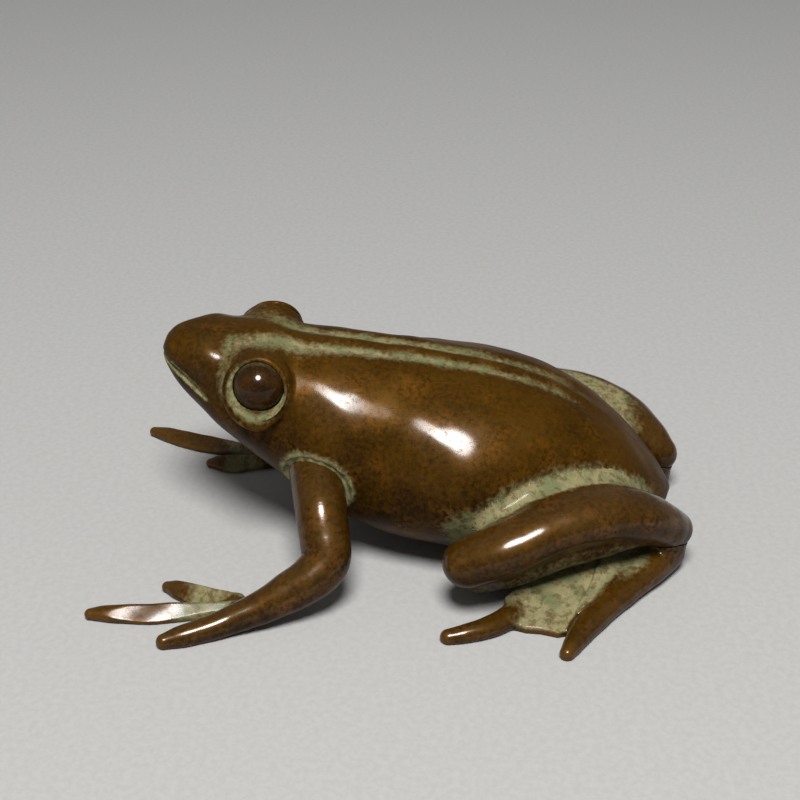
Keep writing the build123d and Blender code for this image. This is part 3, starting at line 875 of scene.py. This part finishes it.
def tenon_pin_hole(p, y, z, tenon_radius):
    """Distance from the upright hole through a tenon, just inside the wall."""
    x = flank(y, z) - WALL - TENON_REACH + TENON_PIN_INSET
    half = tenon_radius + TENON_PIN_OVERHANG
    return bar(p, (x, y, z - half), (x, y, z + half), TENON_PIN_RADIUS + PLAY)


def hand(wrist_x, tips):
    """Fine rows of arm and outer finger, then root and tip of each leaf finger."""
    wrist = (wrist_x, WRIST_Y, WRIST_Z)
    outer_start = (wrist_x, WRIST_Y, OUTER_START_Z)
    outer_tip = (*tips[0], FINGER_Z + OUTER_TIP_RISE)
    arm = [SHOULDER, *UPPER_ARM, ELBOW]
    for share, out, down, radius in FOREARM:
        x, y, z = towards(ELBOW[:3], wrist, share)
        arm.append((x + out, y, z - down, radius, radius))
    arm.append((*wrist, WRIST_RADIUS, WRIST_RADIUS))
    for share, radius in OUTER_FINGER:
        arm.append((*towards(outer_start, outer_tip, share), radius, radius))
    leaves = []
    for tip, inset in zip(tips[1:], LEAF_INSETS):
        root = (wrist_x - inset, WRIST_Y - LEAF_ROOT_AHEAD, FINGER_Z + LEAF_ROOT_RISE)
        leaves.append((root, (*tip, FINGER_Z)))
    return smooth_rows(arm, LIMB_STEP), leaves


def front_leg(arm, leaves):
    """The distance from a front leg, as a function of places on the left side."""
    wrist = arm[np.abs(arm[:, 1] - WRIST_Y).argmin()] * (1, 1, PALM_AT_WRIST, PALM_AT_WRIST, PALM_AT_WRIST)
    roots = [(*root, *halves) for (root, tip), halves in zip(leaves, PALM_HALVES)]
    palm = smooth_rows([*reversed(roots), wrist], LIMB_STEP)

    def leg(p):
        solid = soft_union(limb(p, arm), limb(p, palm), PALM_BLEND)
        for root, tip in leaves:
            solid = soft_union(solid, leaf_finger(p, root, tip), LEAF_BLEND)
        solid = on_table(solid + waver(p), p)
        solid = np.maximum(solid, -body_skin(p) + PLAY)
        solid = np.minimum(solid, tenon_seat(p, SHOULDER_Y, SHOULDER_Z, FRONT_TENON_RADIUS))
        return np.maximum(solid, -tenon_pin_hole(p, SHOULDER_Y, SHOULDER_Z, FRONT_TENON_RADIUS))
    return leg


def front_leg_stain(p, arm, leaves):
    """Verdigris at the shoulder, inside the forearm, and on the leaf fingers but for their tips."""
    stain = SHOULDER_STAIN * bell(np.maximum(body_form(p), 0), SHOULDER_STAIN_REACH)
    forearm = arm[arm[:, 1].argmax():][::-1]
    inner = np.interp(p[:, 1], forearm[:, 1], forearm[:, 0]) - p[:, 0]
    inside = FOREARM_STAIN * rising(inner, *FOREARM_INNER) * falling(p[:, 2], *BELOW_ELBOW)
    stain = np.maximum(stain, inside * bell(p[:, 1] - FOREARM_STAIN_Y, FOREARM_STAIN_REACH))
    clear_of_arm = rising(limb(p, arm), *CLEAR_OF_ARM)
    for (root, tip), clean_from in zip(leaves, LEAF_CLEAN_FROM):
        way = np.array(tip) - np.array(root)
        share = np.clip((p - root) @ way / (way @ way), 0, 1)
        on_leaf = LEAF_STAIN * falling(leaf_finger(p, root, tip), *ON_LEAF) * clear_of_arm
        stain = np.maximum(stain, on_leaf * falling(share, clean_from, LEAF_CLEAN_FADE))
    return stain


for (side, sign), wrist_x, tips in zip(SIDES.items(), WRISTS_X, FINGER_TIPS):
    arm, leaves = hand(wrist_x, tips)
    points, quads = surface(front_leg(arm, leaves), FRONT_LEG_BOX, LEG_VOXEL, (sign,))
    stain = front_leg_stain(points, arm, leaves)
    leg = shown(f"{side}_arm_and_hand", points, quads, BRONZE, stain, sign)
    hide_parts(f"{side}_front_leg")
    dress(f"{side}_front_leg_pin", PIN_FINISH)

# Hind legs: each is one bronze casting of a thigh along the flank with the shank folded under it, and a
# soft crease where it meets the body. A tenon at the hip goes through the flank, and a brass pin across
# it holds it inside.
HIND_LEG_VOXEL = 0.14
HIND_LEG_BOX = ((4.0, 2.6, 0.6), (19.2, 29.6, 12.2))
CREASE_BLEND, LEAST_BLEND = 2.4, 0.05
CREASE_FRONT_Y, CREASE_REAR_Y, CREASE_RUN_OUT = 5.0, 26.0, 4.0
CREASE_PLAY = 0.02
FOOT_ROOT = (7.3, 26.7, 1.9)
FOOT_ROOT_RADIUS = 1.9
FOOT_PEG_RADIUS, FOOT_PEG_BITE = 0.7, 2.0
PEG_TOP = FOOT_ROOT[2] + FOOT_ROOT_RADIUS + FOOT_PEG_BITE

# Verdigris: where it starts or ends and how wide it fades. On the right it lies over more of the thigh.
INNER_STARTS = (0.4, -0.5)
INNER_FADE, INNER_STAIN = 0.3, 0.9
OFF_THIGH, SHANK_STAIN = (0.1, 0.8), 0.5
IN_CREASE = (0.06, 0.2)
HEEL_CLEAN = (26.0, 3.0)


def hind_leg(p):
    """Distance from the leg and its crease, with the tenon and the hole for the foot's peg."""
    body = body_skin(p)
    within = np.minimum(CREASE_REAR_Y - p[:, 1], p[:, 1] - CREASE_FRONT_Y)
    blend = LEAST_BLEND + CREASE_BLEND * rising(within, 0, CREASE_RUN_OUT)
    solid = soft_union(folded_leg(p) + waver(p), body, blend)
    solid = np.maximum(solid, -body + CREASE_PLAY)
    solid = np.minimum(solid, tenon_seat(p, HIP_Y, HIP_Z, HIND_TENON_RADIUS))
    solid = np.maximum(solid, -tenon_pin_hole(p, HIP_Y, HIP_Z, HIND_TENON_RADIUS))
    peg_end = (*FOOT_ROOT[:2], PEG_TOP + PLAY)
    return np.maximum(solid, -bar(p, FOOT_ROOT, peg_end, FOOT_PEG_RADIUS + PLAY))


def hind_leg_stain(p, inner_start):
    """Verdigris on the shank, in the crease, and on the side of the thigh along the flank."""
    x, y, z = p.T
    middle_x, middle_z, half_width = (np.interp(y, THIGH[::-1, 1], THIGH[::-1, i]) for i in (0, 2, 3))
    off_thigh = limb(p, THIGH)
    shank = SHANK_STAIN * rising(off_thigh, *OFF_THIGH)
    inner = INNER_STAIN * rising((middle_x - x) / half_width, inner_start, INNER_FADE)
    upper = np.maximum(rising(off_thigh, *IN_CREASE), inner) * (z > middle_z)
    return np.maximum(shank, upper * falling(y, *HEEL_CLEAN))


points, quads = surface(hind_leg, HIND_LEG_BOX, HIND_LEG_VOXEL, SIDES.values())
for (side, sign), inner_start in zip(SIDES.items(), INNER_STARTS):
    leg = shown(f"{side}_folded_leg", points, quads, BRONZE, hind_leg_stain(points, inner_start), sign)
    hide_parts(f"{side}_hind_leg")
    dress(f"{side}_hind_leg_pin", PIN_FINISH)

# Hind feet: each is one thin bronze casting of heel, two toes and the web between them, flat underneath.
# A peg on the heel is let into the folded leg above it.
FOOT_VOXEL = 0.12
FOOT_BOX = ((4.8, 4.0, -0.3), (23.6, 29.4, 6.6))
SHORT_TOE = (
    # x, y, z, half width, half height, from the heel along the outer edge of the foot to the tip
    (7.3, 26.7, 1.9, 1.85, 1.85),
    (9.5, 25.0, 1.5, 1.85, 1.6),
    (12.2, 22.5, 1.1, 1.85, 1.4),
    (15.4, 20.1, 0.85, 1.6, 1.25),
    (18.9, 18.0, 0.65, 1.28, 1.05),
    (21.3, 16.8, 0.55, 0.95, 0.85),
    (22.28, 16.3, 0.5, 0.76, 0.72),
)
LONG_TOE = (
    (14.4, 13.2, 0.3, 0.8, 0.65),
    (16.6, 11.7, 0.65, 1.25, 0.95),
    (18.8, 9.4, 0.75, 1.15, 0.95),
    (19.9, 7.0, 0.65, 0.95, 0.85),
    (20.3, 5.4, 0.5, 0.78, 0.72),
)
TOE_BLEND = 0.5

# The two sheets of the web: corners in plan, the edge that each rises from, its height there and its slope
REAR_SHEET = (
    (6.0, 26.0), (9.5, 25.0), (12.2, 22.5), (15.4, 20.1),
    (17.4, 17.4), (13.4, 19.0), (8.0, 20.6), (5.0, 22.0),
)
REAR_EDGE = (SHORT_TOE[3], SHORT_TOE[1])
REAR_HEIGHT, REAR_SLOPE = 2.0, 0.35
FRONT_SHEET = (
    (8.0, 18.0), (12.2, 22.0), (15.4, 19.8), (18.9, 17.8), (19.5, 15.6),
    (19.0, 14.0), (18.9, 12.6), (18.4, 11.2), (15.2, 10.7), (13.0, 13.0),
)
FRONT_EDGE = ((18.9, 11.0), (19.3, 16.0))
FRONT_HEIGHT, FRONT_SLOPE = 0.75, 0.24
SHEET_ROUND, SHEET_BLEND = 0.35, 0.22
HEEL_BLEND, HEEL_BLEND_REACH = 1.6, 2.4
LEG_EDGE = 0.1

# Verdigris: how far from the toes it lies, and where it starts or ends and how wide it fades
SHORT_TOE_CLEAN, LONG_TOE_CLEAN = 0.35, 0.7
LONG_TOE_ROOT = (9.5, 4.5)
ROOT_EDGE = (SHORT_TOE[4], SHORT_TOE[1])
ROOT_INWARD, ROOT_OUTWARD, ROOT_STAIN = (-1.4, 1.6), (15.0, 4.0), 0.85
FLOOR_CLEAN, FOOT_HEEL_CLEAN = (0.25, 0.5), (26.0, 2.0)


def in_plan(p, corners):
    """Distance in plan from an area with straight sides."""
    flat = p[:, :2]
    nearest = np.full(len(p), FAR)
    inside = np.zeros(len(p), bool)
    for start, end in zip(corners, (*corners[1:], corners[0])):
        start, way = np.array(start), np.array(end) - start
        local = flat - start
        share = np.clip(local @ way / (way @ way), 0, 1)
        nearest = np.minimum(nearest, np.linalg.norm(local - share[:, None] * way, axis=1))
        crosses = (start[1] <= flat[:, 1]) != (end[1] <= flat[:, 1])
        left_of = (local[:, 0] * way[1] < local[:, 1] * way[0]) == (way[1] > 0)
        inside ^= crosses & left_of
    return np.where(inside, -nearest, nearest)


def inward(p, edge_start, edge_end):
    """How far a place lies inside an edge of the foot, in plan."""
    start, way = np.array(edge_start[:2]), np.array(edge_end[:2]) - edge_start[:2]
    return ((p[:, :2] - start) @ (-way[1], way[0])) / np.linalg.norm(way)


def sheet(p, corners, edge, height, slope):
    """Distance from a sheet of web that gets thicker inward from an edge."""
    top = (p[:, 2] - height - slope * np.maximum(inward(p, *edge), 0)) / math.hypot(1, slope)
    return -soft_union(-top, -in_plan(p, corners), SHEET_ROUND)


SHORT_TOE_LINE = smooth_rows(SHORT_TOE, LIMB_STEP)
LONG_TOE_LINE = smooth_rows(LONG_TOE, LIMB_STEP)


def hind_foot(p):
    """Distance from a foot: web sheets and toes, clear of the leg and body above, with its peg."""
    rear = sheet(p, REAR_SHEET, REAR_EDGE, REAR_HEIGHT, REAR_SLOPE)
    front = sheet(p, FRONT_SHEET, FRONT_EDGE, FRONT_HEIGHT, FRONT_SLOPE)
    solid = soft_union(rear, limb(p, SHORT_TOE_LINE), TOE_BLEND)
    solid = soft_union(solid, front, SHEET_BLEND)
    solid = on_table(soft_union(solid, limb(p, LONG_TOE_LINE), TOE_BLEND) + waver(p), p)
    leg = folded_leg(p)
    solid = soft_union(solid, leg, LEAST_BLEND + HEEL_BLEND * bell(p[:, 1] - HEEL[1], HEEL_BLEND_REACH))
    solid = soft_cut(solid, np.minimum(leg, body_skin(p)) - PLAY, LEG_EDGE)
    return np.minimum(solid, bar(p, FOOT_ROOT, (*FOOT_ROOT[:2], PEG_TOP), FOOT_PEG_RADIUS))


def hind_foot_stain(p):
    """Verdigris all over the web and up towards the leg, and not on the toes."""
    x, y, z = p.T
    beside_short = limb(p, SHORT_TOE_LINE) / SHORT_TOE_CLEAN
    beside_long = limb(p, LONG_TOE_LINE) / LONG_TOE_CLEAN + rising(y, *LONG_TOE_ROOT)
    web = np.clip(np.minimum(beside_short, beside_long), 0, 1)
    root = rising(inward(p, *ROOT_EDGE), *ROOT_INWARD) * falling(x, *ROOT_OUTWARD)
    return np.maximum(web, ROOT_STAIN * root) * rising(z, *FLOOR_CLEAN) * falling(y, *FOOT_HEEL_CLEAN)


points, quads = surface(hind_foot, FOOT_BOX, FOOT_VOXEL, SIDES.values())
for side, sign in SIDES.items():
    foot = shown(f"{side}_webbed_foot", points, quads, BRONZE, hind_foot_stain(points), sign)
    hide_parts(f"{side}_hind_foot")

# Patina over the whole frog: verdigris gathers in the crevices between and within the pieces, and points
# that stand out are rubbed. Both follow from how much metal lies within about a millimetre of a point.
# Wax lies over it all, buffed by a cloth that gets at what faces up better than at what faces down.
# How much a point faces up also paints the brown lighter on top and darker underneath, as painted shade.
PATINA_STEP, PATINA_EDGE = 0.25, 3.0
PATINA_REACH = 2
SHORT_OF_LAST = 1.001
CREVICE, RUB = (0.54, 0.22), (0.42, 0.22)
WAX_AND_SHADE_SIDEWAYS, WAX_AND_SHADE_UPWARD, WAX_AND_SHADE_LEAST = 0.35, 0.9, 0.25


def soften(values, reach):
    """Each value's mean over a box of steps around it, taken three times."""
    width = 2 * reach + 1
    for axis in (0, 1, 2) * 3:
        pads = [(0, 0)] * 3
        pads[axis] = (reach + 1, reach)
        sums = np.moveaxis(np.cumsum(np.pad(values, pads), axis), axis, 0)
        values = np.moveaxis((sums[width:] - sums[:-width]) / width, 0, axis)
    return values


patina_low = np.array(cad_low) / MM - PATINA_EDGE
patina_counts = np.ceil((np.array(cad_high) / MM + PATINA_EDGE - patina_low) / PATINA_STEP).astype(int)
metal = np.zeros(patina_counts, np.float32)
for low, voxel, inside, signs in SOLIDS:
    for sign in signs:
        axes = [patina_low[i] + PATINA_STEP * np.arange(patina_counts[i]) for i in range(3)]
        axes[0] = axes[0] * sign
        steps = [np.round((axis - low[i]) / voxel).astype(int) for i, axis in enumerate(axes)]
        held = [(step >= 0) & (step < inside.shape[i]) for i, step in enumerate(steps)]
        found = inside[np.ix_(*(step[keep] for step, keep in zip(steps, held)))]
        metal[np.ix_(*held)] = np.maximum(metal[np.ix_(*held)], found)
metal = soften(metal, PATINA_REACH)


def metal_near(p):
    """The share of metal around each point."""
    place = np.clip((p - patina_low) / PATINA_STEP, 0, patina_counts - SHORT_OF_LAST)
    corner = place.astype(int)
    part = place - corner
    share = np.zeros(len(p))
    for shift in np.ndindex(2, 2, 2):
        weight = np.prod(np.where(shift, part, 1 - part), axis=1)
        share += weight * metal[tuple((corner + shift).T)]
    return share


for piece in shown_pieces():
    mesh = piece.data
    if "stain" in mesh.attributes:
        places = np.empty(3 * len(mesh.vertices))
        mesh.vertices.foreach_get("co", places)
        places = places.reshape(-1, 3) / MM
        facing = np.empty(3 * len(mesh.vertices))
        mesh.vertex_normals.foreach_get("vector", facing)
        share = metal_near(places)
        # How much a point faces up: it sets how well the wax is buffed, and it paints shade into the brown.
        upward = np.clip(WAX_AND_SHADE_SIDEWAYS + WAX_AND_SHADE_UPWARD * facing[2::3], WAX_AND_SHADE_LEAST, 1)
        layers = {
            "crevice": rising(share, *CREVICE),
            "rub": falling(share, *RUB),
            "upward": upward,
            "wax": upward * (body_polish(places) if piece == body else 1),
        }
        for name, values in layers.items():
            layer = mesh.attributes.new(name, "FLOAT", "POINT")
            layer.data.foreach_set("value", values.astype(np.float32))

# Studio: a pale paper floor, one soft lamp high up on the camera's side, weak light from all round, and
# the camera at the photograph's angle, looking down on the frog's left side.
FLOOR_SIZE = 3.0
FLOOR_PALE = (0.54, 0.535, 0.52, 1)
FLOOR_SHADE = (0.5, 0.495, 0.48, 1)
FLOOR_ROUGHNESS, FLOOR_TOOTH = 0.9, 0.05
VIEW_AZIMUTH, VIEW_ELEVATION = 92.5, 29.0
VIEW_DISTANCE = 0.16
VIEW_TARGET = Vector((0, 0, 0.0143))
LENS, CLIP_START = 72.0, 0.005
LAMP_AZIMUTH, LAMP_ELEVATION = 92.0, 61.0
LAMP_DISTANCE, LAMP_SIZE, LAMP_POWER = 0.5, 0.18, 2.8
WORLD_COLOUR, WORLD_STRENGTH = (1, 1, 1, 1), 0.12


def outward(azimuth, elevation):
    """The way out from the frog at an azimuth and elevation in degrees, where azimuth 0 looks along +Y."""
    a, e = math.radians(azimuth), math.radians(elevation)
    return Vector((math.sin(a) * math.cos(e), -math.cos(a) * math.cos(e), math.sin(e)))


def aimed(thing, name, way, distance):
    """A lamp or camera that looks at the frog from a distance."""
    placed = bpy.data.objects.new(name, thing)
    placed.location = VIEW_TARGET + way * distance
    placed.rotation_euler = (-way).to_track_quat("-Z", "Y").to_euler()
    bpy.context.scene.collection.objects.link(placed)
    return placed


def paper():
    """Matt pale paper with a faint tooth."""
    material, nodes, shader = new_finish("pale_paper")
    tooth = nodes.noise(nodes.in_millimetres(), 1.5, 3.0, 0.6)
    nodes.feed(shader, {
        "Base Color": tooth.ramp(0.3, 0.7).between(FLOOR_SHADE, FLOOR_PALE),
        "Roughness": FLOOR_ROUGHNESS,
        "Normal": nodes.bump(tooth, FLOOR_TOOTH, 0.15),
    })
    return material


half = FLOOR_SIZE / 2
corners = [(-half, -half, 0), (half, -half, 0), (half, half, 0), (-half, half, 0)]
floor_mesh = bpy.data.meshes.new("floor")
floor_mesh.from_pydata(corners, [], [(0, 1, 2, 3)])
floor_mesh.materials.append(paper())
floor = bpy.data.objects.new("floor", floor_mesh)
bpy.context.scene.collection.objects.link(floor)

lamp = bpy.data.lights.new("key_lamp", "AREA")
lamp.shape = "DISK"
lamp.size = LAMP_SIZE
lamp.energy = LAMP_POWER
aimed(lamp, "key_lamp", outward(LAMP_AZIMUTH, LAMP_ELEVATION), LAMP_DISTANCE)

world = bpy.data.worlds.new("studio")
bpy.context.scene.world = world
world.use_nodes = True
background = world.node_tree.nodes["Background"].inputs
background["Color"].default_value = WORLD_COLOUR
background["Strength"].default_value = WORLD_STRENGTH

camera = bpy.data.cameras.new("camera")
camera.lens = LENS
camera.clip_start = CLIP_START
bpy.context.scene.camera = aimed(camera, "camera", outward(VIEW_AZIMUTH, VIEW_ELEVATION), VIEW_DISTANCE)
bpy.context.scene.view_settings.view_transform = "Standard"
